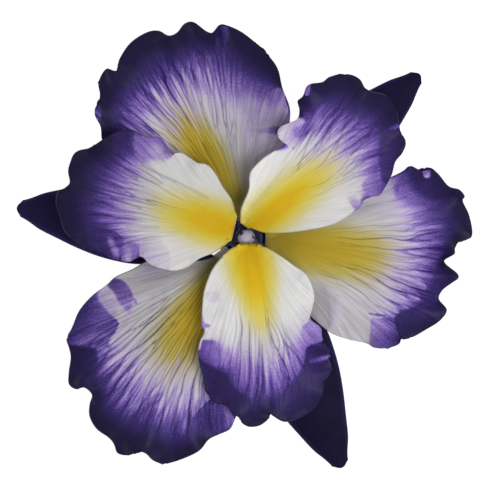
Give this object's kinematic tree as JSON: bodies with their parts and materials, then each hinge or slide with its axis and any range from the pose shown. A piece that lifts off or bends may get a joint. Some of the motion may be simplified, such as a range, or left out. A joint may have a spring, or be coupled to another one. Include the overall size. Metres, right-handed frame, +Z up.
{
  "type": "iris flower",
  "caption": "Open iris flower head lying face up, with frilled front and back petals over smooth pointed sepals on a short receptacle.",
  "frame": {"origin": "centre of the flat underside of the receptacle, which the flower rests on", "axes": "+Z up along the flower's axis towards the viewer of the open bloom, +Y towards the top petal, +X towards the right petal"},
  "size_m": [0.1309, 0.1279, 0.024],
  "materials": {
    "receptacle": "matt, pale grey lavender on top, dark indigo down its sides, greener at the underside",
    "sepal": "satin near-black indigo, a little lighter along the rim",
    "back_petal": "satin, shaded from an olive yellow throat through grey white and violet to a dark indigo rim, with fine fanning veins",
    "front_petal": "satin, shaded from a golden yellow throat through white and violet to a dark indigo rim, with fine fanning veins"
  },
  "bodies": {
    "root": {"receptacle": "receptacle", "sepal_left": "sepal", "sepal_upper_right": "sepal", "sepal_lower_right": "sepal", "petal_back_top": "back_petal", "petal_back_right": "back_petal", "petal_back_lower_left": "back_petal", "petal_front_left": "front_petal", "petal_front_upper_right": "front_petal", "petal_front_bottom": "front_petal"}
  },
  "joints": []
}
